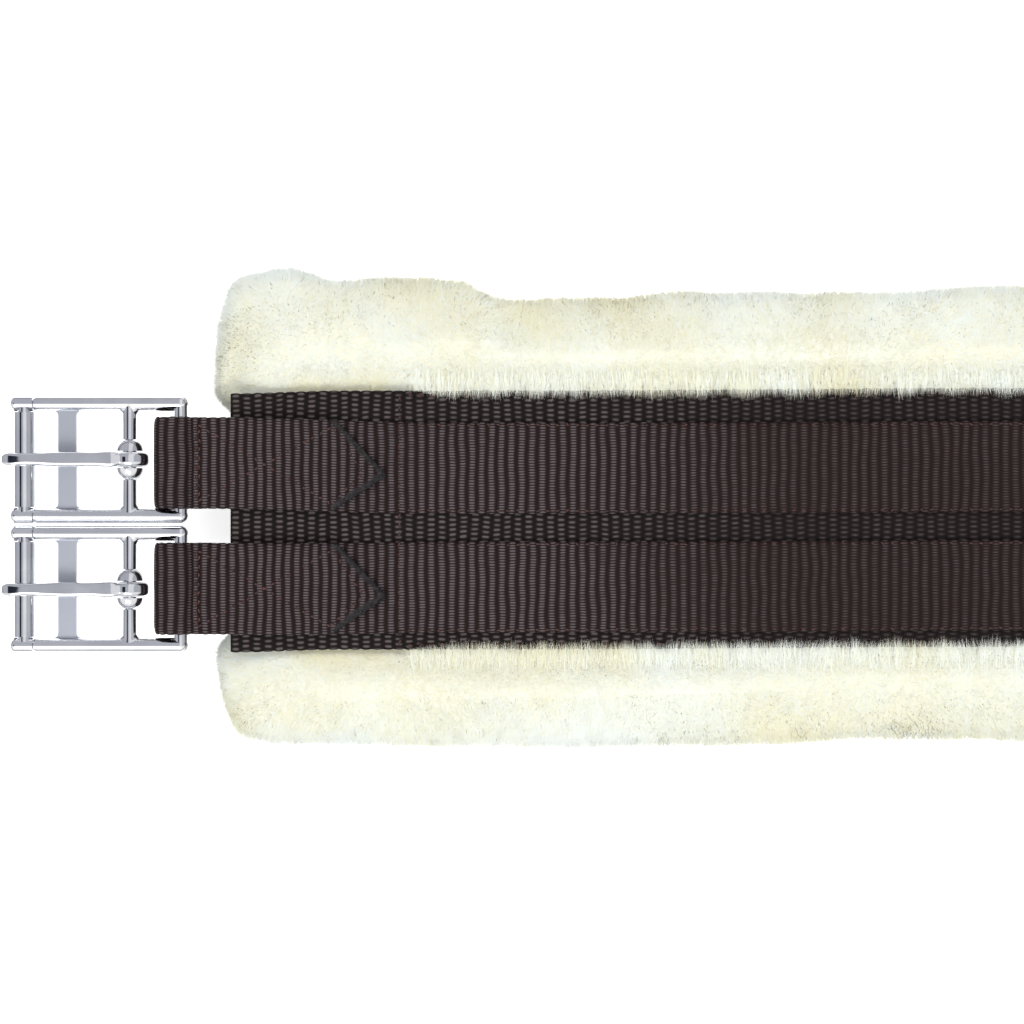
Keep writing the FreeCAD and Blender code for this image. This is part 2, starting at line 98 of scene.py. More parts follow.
PINCH = float(END_BAR[0]) - 4.3
LOOP_BACK = 2.25

RIB_PITCH = 2.72
TAB_RIB_PITCH = 2.5
STRAP_YARN = 0.73
STATION = 0.5                    # step along a strap's mesh
TIP_Y, TIP_HALF = -2.1, 0.5      # a tab's blunt tip: off the strap's middle line, and half its width
POINT_HIGH, POINT_LOW = 13.6, 15.2   # length of a tab's two cut edges, along the strap
BASE_RIB_PITCH = 2.94
BASE_YARN = 1.32


# ---------------------------------------------------------------- small maths

def smooth(low, high, value):
    t = np.clip((np.asarray(value, float) - low) / (high - low), 0, 1)
    return t * t * (3 - 2 * t)


class Waves:
    """Smooth, repeatable noise from -1 to 1: a sum of waves in random directions."""

    def __init__(self, seed, scale, count=10):
        rng = np.random.default_rng(seed)
        way = rng.normal(size=(count, 3))
        way /= np.linalg.norm(way, axis=1)[:, None]
        self.way = way * (2 * math.pi / scale) * rng.uniform(0.6, 1.6, count)[:, None]
        self.phase = rng.uniform(0, 2 * math.pi, count)

    def __call__(self, points):
        return np.sin(np.asarray(points) @ self.way.T + self.phase).mean(axis=1) * 2.2


def curve_through(points, at):
    """A smooth curve through (x, y) points, by cosine steps between them."""
    xs, ys = np.array(points, float).T
    at = np.clip(np.asarray(at, float), xs[0], xs[-1])
    i = np.clip(np.searchsorted(xs, at) - 1, 0, len(xs) - 2)
    t = (at - xs[i]) / (xs[i + 1] - xs[i])
    return ys[i] + (ys[i + 1] - ys[i]) * (0.5 - 0.5 * np.cos(math.pi * t))


# How far the straps and the base webbing were sewn off the girth's middle line, by distance along it.
STRAP_DRIFT = [(0, -0.3), (60, -0.4), (150, -0.8), (225, -0.9), (285, -0.35), (300, -0.35)]
BASE_DRIFT = [(0, 2.0), (60, 1.9), (190, 1.2), (240, 1.15), (271, 0.4)]


def strap_middle(x, side):
    """A strap's middle line: the pair spreads a little towards the buckles."""
    close = 0.9 * (1 - smooth(205, 272, np.abs(x)))
    return side * (STRAP_MIDDLE - close) + curve_through(STRAP_DRIFT, np.abs(x))


def base_middle(x):
    return curve_through(BASE_DRIFT, np.abs(x))


# ---------------------------------------------------------------- mesh helpers

def make_piece(name, verts_mm, faces, material):
    mesh = bpy.data.meshes.new(name)
    mesh.from_pydata((np.asarray(verts_mm) * MM).tolist(), [], faces)
    mesh.update()
    piece = bpy.data.objects.new(name, mesh)
    bpy.context.collection.objects.link(piece)
    mesh.materials.append(material)
    mesh.shade_smooth()
    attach(piece, "girth")
    return piece


def set_attribute(piece, name, values):
    """A three-number attribute on the points, for the materials to read."""
    attribute = piece.data.attributes.new(name, "FLOAT_VECTOR", "POINT")
    attribute.data.foreach_set("vector", np.asarray(values, np.float32).ravel())


def tube_faces(rings, around):
    """Quads between rings of points, closed with a strip of quads at each end."""
    faces = []
    for i in range(rings - 1):
        a, b = i * around, (i + 1) * around
        for j in range(around):
            k = (j + 1) % around
            faces.append((a + j, a + k, b + k, b + j))
    half = around // 2
    for start, flip in ((0, True), ((rings - 1) * around, False)):
        for j in range(half - 1):
            quad = (start + j, start + j + 1, start + around - 2 - j, start + around - 1 - j)
            faces.append(quad[::-1] if flip else quad)
    return faces


# ---------------------------------------------------------------- material helpers

class Nodes:
    """A short way to write the nodes of a new material, or of the world."""

    def __init__(self, name=None, world=None):
        self.material = world or bpy.data.materials.new(name)
        self.material.use_nodes = True
        self.tree = self.material.node_tree
        self.shader = self.tree.nodes.get("Principled BSDF")

    def add(self, kind, **values):
        node = self.tree.nodes.new(kind)
        for key, value in values.items():
            setattr(node, key, value)
        return node

    def link(self, source, target):
        self.tree.links.new(source, target)

    def math(self, operation, a, b=0.0, clamp=False):
        node = self.add("ShaderNodeMath", operation=operation, use_clamp=clamp)
        for socket, value in zip(node.inputs, (a, b)):
            if isinstance(value, (int, float)):
                socket.default_value = value
            else:
                self.link(value, socket)
        return node.outputs[0]

    def mix(self, share, first, second):
        node = self.add("ShaderNodeMix", data_type="RGBA")
        for socket, value in ((node.inputs[0], share), (node.inputs[6], first), (node.inputs[7], second)):
            if isinstance(value, (int, float)):
                socket.default_value = value
            elif isinstance(value, tuple):
                socket.default_value = (*value, 1)
            else:
                self.link(value, socket)
        return node.outputs[2]

    def noise(self, scale, detail=2.0, vector=None):
        node = self.add("ShaderNodeTexNoise")
        node.inputs["Scale"].default_value = scale
        node.inputs["Detail"].default_value = detail
        if vector is None:
            vector = self.add("ShaderNodeTexCoord").outputs["Object"]
        self.link(vector, node.inputs["Vector"])
        return node.outputs["Fac"]

    def ramp(self, value, low, high, out_low, out_high):
        node = self.add("ShaderNodeMapRange")
        for i, number in enumerate((low, high, out_low, out_high), start=1):
            node.inputs[i].default_value = number
        self.link(value, node.inputs[0])
        return node.outputs[0]

    def bump(self, height, distance_mm, strength=1.0):
        node = self.add("ShaderNodeBump")
        node.inputs["Strength"].default_value = strength
        node.inputs["Distance"].default_value = distance_mm * MM
        self.link(height, node.inputs["Height"])
        self.link(node.outputs[0], self.shader.inputs["Normal"])

    def set(self, **values):
        for key, value in values.items():
            self.shader.inputs[key.replace("_", " ")].default_value = value


def webbing_material(name, yarn, dark, body, light, bump_mm, highlight_share, slim):
    """Ribbed webbing. The weave attribute holds (rib count along, millimetres across, melted).

    Each rib is a crest of short floats lit by a painted grey highlight, then a valley of its own, redder and
    darkened with painted shade.
    """
    n = Nodes(name)
    weave = n.add("ShaderNodeAttribute", attribute_name="weave")
    split = n.add("ShaderNodeSeparateXYZ")
    n.link(weave.outputs["Vector"], split.inputs[0])
    along, across, melted = split.outputs
    wander = n.ramp(n.noise(220, 1), 0, 1, -0.3, 0.3)
    rib_number = n.math("FLOOR", along)
    rib = n.math("SINE", n.math("MULTIPLY", n.math("FRACT", along), math.pi))
    yarns = n.math("DIVIDE", across, yarn)
    yarns = n.math("ADD", n.math("ADD", yarns, n.math("MULTIPLY", rib_number, 0.5)), wander)
    wave = n.math("COSINE", n.math("MULTIPLY", n.math("FRACT", yarns), 2 * math.pi))
    yarn_height = n.ramp(wave, -1, 1, 1, 0)
    crest = n.ramp(rib, 1 - highlight_share, 0.98, 0, 1)
    # every float of yarn has its own tone
    cell = n.add("ShaderNodeCombineXYZ")
    n.link(rib_number, cell.inputs[0])
    n.link(n.math("FLOOR", yarns), cell.inputs[1])
    tone = n.add("ShaderNodeTexWhiteNoise", noise_dimensions="2D")
    n.link(cell.outputs[0], tone.inputs["Vector"])
    # painted sheen, stronger towards the buckles where handling has polished the webbing, and in soft
    # patches
    place = n.add("ShaderNodeSeparateXYZ")
    n.link(n.add("ShaderNodeTexCoord").outputs["Object"], place.inputs[0])
    buckle_polish_and_sheen = n.ramp(n.math("ABSOLUTE", place.outputs[0]), 0.13, 0.215, 0.66, 2.0)
    patchy_sheen_strength = n.math("MULTIPLY", n.ramp(n.noise(14, 3), 0.35, 0.65, 0.65, 1.1), buckle_polish_and_sheen)
    # shine: where the painted grey highlight lies, on the crests of the floats
    shine = n.math("MULTIPLY", crest, n.math("POWER", yarn_height, slim))
    float_tone = n.ramp(tone.outputs["Value"], 0, 1, 0.55, 1.15)
    shine = n.math("MULTIPLY", shine, n.math("MULTIPLY", patchy_sheen_strength, float_tone), clamp=True)
    # painted shade: the colour darkens towards the valleys between ribs and the gaps between yarns
    unshaded_share = n.math("MULTIPLY", n.math("POWER", rib, 0.5), n.ramp(yarn_height, 0, 1, 0.35, 1.0))
    cloth = n.mix(unshaded_share, dark, body)
    # the light colour is a painted grey highlight, laid over the cloth
    cloth = n.mix(shine, cloth, light)
    rough_melt = n.ramp(n.noise(1500, 4), 0.35, 0.7, 0, 1)
    sealed = n.mix(rough_melt, (0.007, 0.007, 0.008), (0.028, 0.025, 0.026))
    n.link(n.mix(melted, cloth, sealed), n.shader.inputs["Base Color"])
    rough = n.ramp(shine, 0, 1, 0.85, 0.5)
    n.link(n.math("SUBTRACT", rough, n.math("MULTIPLY", melted, 0.25)), n.shader.inputs["Roughness"])
    cloth_height = n.math("MULTIPLY", n.math("MULTIPLY", n.math("POWER", rib, 0.6),
                                             n.ramp(yarn_height, 0, 1, 0.25, 1)),
                          n.math("SUBTRACT", 1.0, melted))
    fuzz = n.math("MULTIPLY", n.noise(2600, 2), 0.2)
    melt_height = n.math("MULTIPLY", rough_melt, n.math("MULTIPLY", melted, 1.6))
    n.bump(n.math("ADD", n.math("ADD", cloth_height, fuzz), melt_height), bump_mm)
    n.set(Specular_IOR_Level=0.2)
    return n.material


def thread_material():
    """Bonded nylon thread: two twisted strands, reddish brown."""
    n = Nodes("sewing_thread")
    weave = n.add("ShaderNodeAttribute", attribute_name="weave")
    split = n.add("ShaderNodeSeparateXYZ")
    n.link(weave.outputs["Vector"], split.inputs[0])
    twist = n.math("SINE", n.math("ADD", n.math("MULTIPLY", split.outputs[0], 9.0), split.outputs[1]))
    tone = n.noise(700, 2)
    colour = n.mix(n.ramp(tone, 0.35, 0.65, 0, 1), (0.010, 0.004, 0.004), (0.062, 0.020, 0.015))
    colour = n.mix(n.ramp(twist, -1, 1, 0.0, 0.55), colour, (0.035, 0.016, 0.014))
    n.link(colour, n.shader.inputs["Base Color"])
    n.bump(twist, 0.08)
    n.link(n.ramp(tone, 0, 1, 0.35, 0.6), n.shader.inputs["Roughness"])
    n.set(Specular_IOR_Level=0.4)
    return n.material


def steel_material(name, grain, flat_bar=False):
    """Polished stainless steel, with faint polishing waves. The flat bar is left bead-blasted."""
    n = Nodes(name)
    place = n.add("ShaderNodeTexCoord").outputs["Object"]
    wave = n.noise(grain, 2, place)
    scuff = n.noise(1400, 3, place)
    tint = n.mix(n.ramp(wave, 0.3, 0.7, 0, 1), (0.60, 0.61, 0.64), (0.68, 0.69, 0.71))
    rough = n.math("ADD", n.ramp(wave, 0.3, 0.7, 0.05, 0.10), n.ramp(scuff, 0.55, 0.8, 0, 0.08))
    height = n.math("ADD", n.math("MULTIPLY", wave, 1.0), n.math("MULTIPLY", scuff, 0.04))
    if flat_bar:
        split = n.add("ShaderNodeSeparateXYZ")
        n.link(place, split.inputs[0])
        reach = n.math("ABSOLUTE", split.outputs[0])
        offset = n.math("ABSOLUTE", n.math("SUBTRACT", reach, (float(END_BAR[0]) + 30.6) * MM))
        across = n.math("ABSOLUTE", n.math("SUBTRACT", n.math("ABSOLUTE", split.outputs[1]),
                                           float(END_BAR[1]) * MM))
        inside = n.math("MULTIPLY", n.ramp(offset, 3.6 * MM, 3.8 * MM, 1, 0),
                        n.ramp(across, 12.9 * MM, 13.3 * MM, 1, 0))
        beads = n.noise(5200, 1, place)
        rough = n.math("ADD", rough, n.math("MULTIPLY", inside, 0.42))
        tint = n.mix(inside, tint, (0.40, 0.42, 0.47))
        height = n.math("ADD", height, n.math("MULTIPLY", n.math("MULTIPLY", beads, inside), 0.5))
    n.link(tint, n.shader.inputs["Base Color"])
    n.link(rough, n.shader.inputs["Roughness"])
    n.bump(height, 0.03)
    n.set(Metallic=1.0)
    return n.material


def fleece_skin_material():
    """The cloth and the dense roots of the pile, under the strands."""
    n = Nodes("fleece_skin")
    cloud = n.noise(28, 3)
    fine = n.noise(900, 3)
    colour = n.mix(n.ramp(cloud, 0.35, 0.65, 0, 1), (0.66, 0.635, 0.50), (0.68, 0.68, 0.60))
    n.link(colour, n.shader.inputs["Base Color"])
    n.link(n.ramp(fine, 0, 1, 0.85, 1.0), n.shader.inputs["Roughness"])
    n.bump(fine, 0.4)
    return n.material


def pile_material(name, colour):
    """One shade of pile. The shades are mixed strand by strand, so each one is plain."""
    n = Nodes(name)
    n.set(Base_Color=(*colour, 1), Roughness=0.9, Specular_IOR_Level=0.15)
    return n.material


def felt_material():
    """The padding, which nobody sees."""
    n = Nodes("felt")
    n.link(n.mix(n.noise(300, 3), (0.50, 0.48, 0.42), (0.66, 0.64, 0.58)), n.shader.inputs["Base Color"])
    n.set(Roughness=0.95)
    return n.material


# ---------------------------------------------------------------- metal

def dress(node, material):
    """Gives a CAD node its material. Its mesh stays as it is."""
    materials = frame["nodes"][node].data.materials
    materials.clear()
    materials.append(material)


def dress_metal():
    moving_steel = steel_material("steel_moving", 150)
    steels = {"buckle_frame": steel_material("steel_frame", 120, flat_bar=True),
              "tongue": moving_steel, "roller": moving_steel}
    for end in ENDS:
        for side in SIDES:
            for kind, steel in steels.items():
                dress(f"{end}_{side}_{kind}", steel)


# ---------------------------------------------------------------- straps

def bunched(count, share):
    """Stations from -1 to 1 that close up towards both ends, the more so the nearer share is to 1."""
    quarter = math.pi / 2 * share
    return np.sin(np.linspace(-1, 1, count) * quarter) / math.sin(quarter)


def arc(centre, radius, start, end, count):
    angles = np.linspace(math.radians(start), math.radians(end), count)
    return np.column_stack([centre[0] + radius * np.cos(angles), centre[1] + radius * np.sin(angles)])


def off_end_path():
    """Middle line of the strap at the off end, in X and Z, from the run round the loop to the tab tip."""
    nose = LOOP_NOSE - STRAP_THICK / 2
    span, drop = nose - PINCH, LAYER + LOOP_BACK
    loop = (span * span + drop * drop - LOOP_BACK * LOOP_BACK) / (2 * (span + LOOP_BACK))
    loop_x = nose - loop
    slope = math.degrees(math.atan2(drop, loop_x - PINCH))
    lower = arc((PINCH, -drop), LOOP_BACK, 90, slope, 12)
    around = arc((loop_x, 0), loop, -(180 - slope), 180 - slope, 60)
    upper = lower[::-1] * np.array([1, -1])
    path = np.vstack([lower, around[1:-1], upper, [[TAB_TIP, LAYER]]])
    return path + np.array([0, FOLD_Z])


def strap_path():
    """(x, z) stations along the whole strap at an even step, with each one's rib count."""
    off = off_end_path()
    near = off[::-1] * np.array([-1, 1])
    line = np.vstack([near, off])
    step = np.concatenate([[0], np.cumsum(np.linalg.norm(np.diff(line, axis=0), axis=1))])
    even = np.arange(0, step[-1], STATION)
    stations = np.column_stack([np.interp(even, step, line[:, 0]), np.interp(even, step, line[:, 1])])
    tab_end = step[len(near) - 1]
    pitch = np.where((even < tab_end) | (even > step[-1] - tab_end), TAB_RIB_PITCH, RIB_PITCH)
    ribs = np.concatenate([[0], np.cumsum(STATION / pitch[:-1])])
    return even, step[-1], stations, ribs


def rib_profile(count):
    return np.abs(np.sin(math.pi * count)) ** 0.75


def tab_edges(distance):
    """Low and high edge of a tab, by distance from its tip. The tip is blunt and a little off centre."""
    high = TIP_Y + TIP_HALF + distance * (STRAP_HALF - TIP_Y) / POINT_HIGH
    low = TIP_Y - TIP_HALF - distance * (STRAP_HALF + TIP_Y) / POINT_LOW
    return np.maximum(-STRAP_HALF, low), np.minimum(STRAP_HALF, high)


def make_strap(side_name, side, material):
    even, length, path, ribs = strap_path()
    rng = np.random.default_rng(11 + side)
    count_across = 24
    t = bunched(count_across, 0.93)
    tangent = np.gradient(path, axis=0)
    tangent /= np.linalg.norm(tangent, axis=1)[:, None]
    normal = np.column_stack([-tangent[:, 1], tangent[:, 0]])        # outside of the loop
    from_tip = np.minimum(even, length - even)
    edge_low, edge_high = tab_edges(from_tip)
    wobble = Waves(3 + side, 14)
    lumps = Waves(5 + side, 9)
    rib_size = rng.uniform(0.85, 1.15, int(ribs[-1]) + 2)
    verts, weave = [], []
    for layer in (1, -1):
        for across in (t if layer > 0 else t[::-1]):
            middle = (edge_low + edge_high) / 2
            half = (edge_high - edge_low) / 2
            place = np.column_stack([path[:, 0], np.full(len(even), across * 12), path[:, 1]])
            bent_ribs = ribs + 0.10 * wobble(place)
            rib = rib_profile(bent_ribs) * rib_size[np.floor(ribs).astype(int)]
            y = middle + across * (half + 0.32 * (rib - 0.5) * smooth(0.9, 1, abs(across)))
            cut = np.minimum(edge_high - y, y - edge_low) * 0.75
            melted = 1 - smooth(0.9, 1.9, cut + 0.35 * wobble(place * 3))
            melted *= 1 - smooth(POINT_LOW - 1.8, POINT_LOW, from_tip)
            thick = STRAP_THICK / 2 * (1 - abs(across) ** 12) ** 0.5
            beaded = 0.16 * melted * (1 + wobble(place * 6)) * (abs(across) < 0.98)
            ribbed = 0.26 * (rib - 0.62) * (1 - melted) * (1 - smooth(0.93, 1.0, abs(across)))
            thick = thick * (1 - 0.25 * melted) + beaded + ribbed
            thick = np.maximum(thick, 0.05)
            lift = 0.10 * lumps(place) * (path[:, 1] > FOLD_Z) * smooth(4, 20, from_tip)
            x = path[:, 0] + normal[:, 0] * thick * layer
            z = path[:, 1] + normal[:, 1] * thick * layer + lift
            verts.append(np.column_stack([x, y + strap_middle(path[:, 0], side), z]))
            weave.append(np.column_stack([bent_ribs, y + 40, melted]))
    around = 2 * count_across
    verts = np.stack(verts, axis=1).reshape(-1, 3)
    weave = np.stack(weave, axis=1).reshape(-1, 3)
    name = f"{side_name}_strap_webbing"
    piece = make_piece(name, verts, tube_faces(len(even), around), material)
    set_attribute(piece, "weave", weave)
    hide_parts(f"{side_name}_strap")
    return piece


# ---------------------------------------------------------------- base webbing

def make_base(material):
    """The wide webbing, woven coarsely where it shows between and outside the straps."""
    rng = np.random.default_rng(21)
    step = BASE_RIB_PITCH / 5
    xs = np.arange(-BASE_REACH, BASE_REACH + step / 2, step)
    fine = BASE_YARN / 4
    shown = [(-BASE_HALF, -26.5), (-7.0, 7.0), (26.5, BASE_HALF)]
    ys = []
    for low, high in shown:
        ys.append(np.linspace(low, high, int((high - low) / fine)))
    ys = np.concatenate(ys)
    wobble = Waves(22, 16)
    ribs = (xs + BASE_REACH) / BASE_RIB_PITCH
    number = np.floor(ribs).astype(int)
    tone = rng.uniform(0.8, 1.2, (number.max() + 2, 400))
    verts, weave = [], []
    half_thick = (BASE_TOP - BASE_BOTTOM) / 2
    for layer in (1, -1):
        for y in (ys if layer > 0 else ys[::-4]):
            place = np.column_stack([xs, np.full(len(xs), y), np.zeros(len(xs))])
            bent = ribs + 0.08 * wobble(place)
            rib = np.abs(np.sin(math.pi * bent)) ** 0.7
            yarn = y / BASE_YARN + 0.5 * np.floor(bent) + 0.12 * wobble(place * 2)
            bump = 0.5 - 0.5 * np.cos(2 * math.pi * yarn)
            size = tone[number, np.floor(yarn).astype(int) + 100]
            edge = abs(y) / BASE_HALF
            thick = half_thick * (1 - edge ** 14 * 0.9) + 0.30 * (rib * (0.35 + 0.65 * bump) * size - 0.62)
            scallop = 0.28 * (rib - 0.5) * smooth(0.97, 1.0, edge) * np.sign(y)
            end_drop = smooth(BASE_REACH - 0.8, BASE_REACH, np.abs(xs)) * 0.3
            z = BASE_BOTTOM + half_thick + layer * np.maximum(thick - end_drop, 0.1)
            verts.append(np.column_stack([xs, y + scallop + base_middle(xs), z]))
            weave.append(np.column_stack([bent, np.full(len(xs), y + 60), np.zeros(len(xs))]))
    rows, columns = len(verts), len(xs)
    faces = []
    for i in range(rows):
        a, b = i * columns, ((i + 1) % rows) * columns
        faces += [(a + j, a + j + 1, b + j + 1, b + j) for j in range(columns - 1)]
    faces.append(tuple(i * columns for i in range(rows)))
    faces.append(tuple(i * columns + columns - 1 for i in range(rows))[::-1])
    faces = [face[::-1] for face in faces]
    piece = make_piece("base_webbing_woven", np.vstack(verts), faces, material)
    set_attribute(piece, "weave", np.vstack(weave))
    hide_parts("base_webbing")
    return piece


# ---------------------------------------------------------------- sewing

def stitch_row(start, end, height, rng, pitch=3.0, length=2.35, radius=0.29, tilt=0.12):
    """Short stitches from start to end, each a bent thread that dives into the webbing at both ends."""
    start, end = np.array(start, float), np.array(end, float)
    way = end - start
    total = np.linalg.norm(way)
    way /= total
    count = max(1, int(round(total / pitch)))
    side = np.array([-way[1], way[0]])
    verts, weave, faces = [], [], []
    around, rings = 6, 7
    for i in range(count):
        middle = start + way * total * (i + 0.5) / count
        turn = rng.normal(0, tilt)
        along = way * math.cos(turn) + side * math.sin(turn)
        across = np.array([-along[1], along[0]])
        half = length / 2 * rng.uniform(0.9, 1.08)
        middle = middle + side * rng.normal(0, 0.07)
        top = height(middle) + rng.uniform(-0.05, 0.05)
        first = len(verts)
        for k in range(rings):
            t = -1 + 2 * k / (rings - 1)
            place = middle + along * half * math.sin(t * math.pi / 2)
            z = top - 0.55 * abs(t) ** 3
            size = radius * (1 - 0.25 * abs(t) ** 2)
            for m in range(around):
                angle = 2 * math.pi * m / around
                offset = across * math.cos(angle) * size * 1.1
                verts.append((place[0] + offset[0], place[1] + offset[1], z + math.sin(angle) * size * 0.85))
                weave.append((t * half, angle, i))
        for k in range(rings - 1):
            a = first + k * around
            for m in range(around):
                n = (m + 1) % around
                faces.append((a + m, a + around + m, a + around + n, a + n))
        faces.append(tuple(first + m for m in range(around)))
        last = first + (rings - 1) * around
        faces.append(tuple(last + m for m in range(around))[::-1])
    return verts, weave, faces


def make_stitches(name, rows, height, material, seed, **sizes):
    rng = np.random.default_rng(seed)
    verts, weave, faces = [], [], []
    for start, end in rows:
        v, w, f = stitch_row(start, end, height, rng, **sizes)
        faces += [tuple(i + len(verts) for i in face) for face in f]
        verts += v
        weave += w
    piece = make_piece(name + "_thread", verts, faces, material)
    set_attribute(piece, "weave", weave)
    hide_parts(name)
    return piece


def sew(material):
    tab_top = FOLD_Z + LAYER + STRAP_THICK / 2 + 0.06
    run_top = FOLD_Z - LAYER + STRAP_THICK / 2 + 0.06
    for end_name, end in ENDS.items():
        for side_name, side in SIDES.items():
            inset = STRAP_HALF - 1.7
            row = PINCH - 0.2
            shoulder = TAB_TIP + 14.2
            tip = TAB_TIP + 6.0

            def at(x, y):
                return (x * end, y + float(strap_middle(x * end, side)))

            rows = [(at(row, -inset), at(row, inset)), (at(row - 0.7, inset - 1), at(row - 0.7, 1 - inset)),
                    (at(row, -inset), at(shoulder, inset)), (at(row, inset), at(shoulder, -inset)),
                    (at(shoulder, inset), at(tip, -1.9)), (at(shoulder + 1, -inset), at(tip, -1.9))]
            make_stitches(f"{end_name}_{side_name}_box_stitching", rows, lambda p: tab_top,
                          material, 31 + 2 * end + side, pitch=2.5, length=1.5, tilt=0.3)

        def cross_height(p):
            over = any(abs(p[1] - float(strap_middle(p[0], s))) < STRAP_HALF for s in SIDES.values())
            return run_top if over else BASE_TOP + 0.05

        x = CROSS_SEAM_X * end
        middle = float(base_middle(x))
        reach = BASE_HALF - 0.8
        make_stitches(f"{end_name}_cross_seam", [((x, middle - reach), (x, middle + reach))],
                      cross_height, material, 41 + end, pitch=2.6, length=1.5, tilt=0.3)

    reach = CROSS_SEAM_X - 1.5
    steps = np.linspace(-reach, reach, 9)

    def along(offset, line):
        points = [(x, float(line(x)) + offset) for x in steps]
        return list(zip(points[:-1], points[1:]))

    for side_name, side in SIDES.items():
        inset = STRAP_HALF - 0.7
        rows = []
        for offset in (-inset, inset):
            rows += along(offset, lambda x, s=side: strap_middle(x, s))
        make_stitches(f"{side_name}_strap_seams", rows, lambda p: run_top - 0.12, material, 51 + side,
                      pitch=2.7, length=1.2, radius=0.24, tilt=0.4)
    rows = along(BASE_HALF - 1.2, base_middle) + along(1.2 - BASE_HALF, base_middle)
    make_stitches("base_webbing_seams", rows, lambda p: BASE_TOP, material, 61,
                  pitch=2.9, length=1.4, tilt=0.3)


# ---------------------------------------------------------------- fleece

# Outer edges of the fleece, seen from above, as (x, y) along the girth, pile included.
FRONT_EDGE = [(-277, 69.8), (-256, 70.8), (-241, 68.7), (-209, 68.2), (-188, 62.6), (-168, 62.3),
              (-142, 64.2), (-100, 63.9), (-62, 65.4), (0, 64), (60, 65), (130, 63.2), (190, 65),
              (240, 66.8), (277, 65.5)]
REAR_EDGE = [(-277, -60), (-228, -61.4), (-185, -61.6), (-120, -61.2), (-96, -59.2), (-40, -60), (30, -61.4),
             (100, -59.8), (180, -61.9), (240, -63.4), (277, -62.4)]
PILE = 1.8
STRAND_WIDTH = 0.13
SKIN_BOTTOM = 2.0
SKIN_SEAT = 21.4
SKIN_ROLL = 27.6
CORNER = 20.0
END_STEP = 6.5
REAR_EXTRA = 1.3                 # the rear side reaches this much further at the ends
FLEECE_REACH = float(high_mm("fleece_cover")[0]) + 2.0


def section_points(count=64):
    """One cross-section of the skin, as (side share from -1 to 1, height), all the way round."""
    points = []
    for i in range(count):
        angle = 2 * math.pi * (i + 0.5) / count
        across = math.cos(angle)
        up = math.sin(angle)
        share = math.copysign(abs(across) ** 0.55, across)
        rise = math.copysign(abs(up) ** 0.75, up)
        points.append((share, rise))
    return np.array(points)


def end_reach(y):
    """How far along the girth the fleece goes. It steps back behind the buckles."""
    return FLEECE_REACH + REAR_EXTRA * smooth(0, -40, y) - END_STEP * (1 - smooth(29, 36.5, np.abs(y)))


def outline(x):
    """The skin's front and rear edge at x, and how far the rounding of the end has got."""
    x = np.asarray(x, float)
    inward = np.clip((np.abs(x) - (FLEECE_REACH - PILE - CORNER)) / CORNER, 0, 1)
    round_in = np.sqrt(1 - inward ** 2.2)
    inset = PILE + CORNER * (1 - round_in)
    return curve_through(FRONT_EDGE, x) - inset, curve_through(REAR_EDGE, x) + inset, round_in


def make_fleece_skin(material):
    """The fleece body: swollen by cloth pressure, then settled on the floor and under the webbing."""
    shape = section_points()
    reach = FLEECE_REACH - PILE
    stations = reach * bunched(150, 0.985)
    verts = []
    for x in stations:
        front, rear, round_in = outline(x)
        middle, half = (front + rear) / 2, (front - rear) / 2
        flat = 0.3 + 0.7 * round_in
        for share, rise in shape:
            y = middle + half * share
            crown = SKIN_SEAT + (SKIN_ROLL - SKIN_SEAT) * float(smooth(34, 44, abs(y)))
            mid_z = (SKIN_BOTTOM + SKIN_SEAT) / 2
            height = crown - mid_z if rise > 0 else mid_z - SKIN_BOTTOM
            verts.append((x, y, mid_z + height * rise * flat))
    rings, around = len(stations), len(shape)
    faces = []
    for i in range(rings - 1):
        a, b = i * around, (i + 1) * around
        faces += [(a + j, a + (j + 1) % around, b + (j + 1) % around, b + j) for j in range(around)]
    faces.append(tuple(range(around))[::-1])
    faces.append(tuple((rings - 1) * around + j for j in range(around)))
    piece = make_piece("fleece_skin", verts, faces, material)
    puff(piece, voxel_mm=5.0, cap_mm=4.0)
    settle(piece)
    return piece


def apply_modifier(piece, name):
    bpy.context.view_layer.objects.active = piece
    bpy.ops.object.modifier_apply(modifier=name)


def points_mm(piece):
    co = np.empty(len(piece.data.vertices) * 3, np.float32)
    piece.data.vertices.foreach_get("co", co)
    return co.reshape(-1, 3).astype(float) / MM


def set_points_mm(piece, points):
    piece.data.vertices.foreach_set("co", (np.asarray(points) * MM).astype(np.float32).ravel())
    piece.data.update()


def puff(piece, voxel_mm, cap_mm, pressure=4.0, frames=20):
    """Swells a closed skin with cloth pressure, and caps how far each point may move."""
    remesh = piece.modifiers.new("remesh", "REMESH")
    remesh.mode = "VOXEL"
    remesh.voxel_size = voxel_mm * MM
    apply_modifier(piece, "remesh")
    before = points_mm(piece)
    cloth = piece.modifiers.new("cloth", "CLOTH")
    cloth.settings.use_pressure = True
    cloth.settings.uniform_pressure_force = pressure
    cloth.settings.effector_weights.gravity = 0.0
    scene = bpy.context.scene
    for number in range(1, frames + 1):
        scene.frame_set(number)
    apply_modifier(piece, "cloth")
    scene.frame_set(1)
    moved = points_mm(piece) - before
    far = np.linalg.norm(moved, axis=1)
    moved *= np.minimum(1, cap_mm / np.maximum(far, 1e-6))[:, None]
    set_points_mm(piece, before + moved)
    divide = piece.modifiers.new("divide", "SUBSURF")
    divide.levels = divide.render_levels = 1
    apply_modifier(piece, "divide")
    piece.data.shade_smooth()


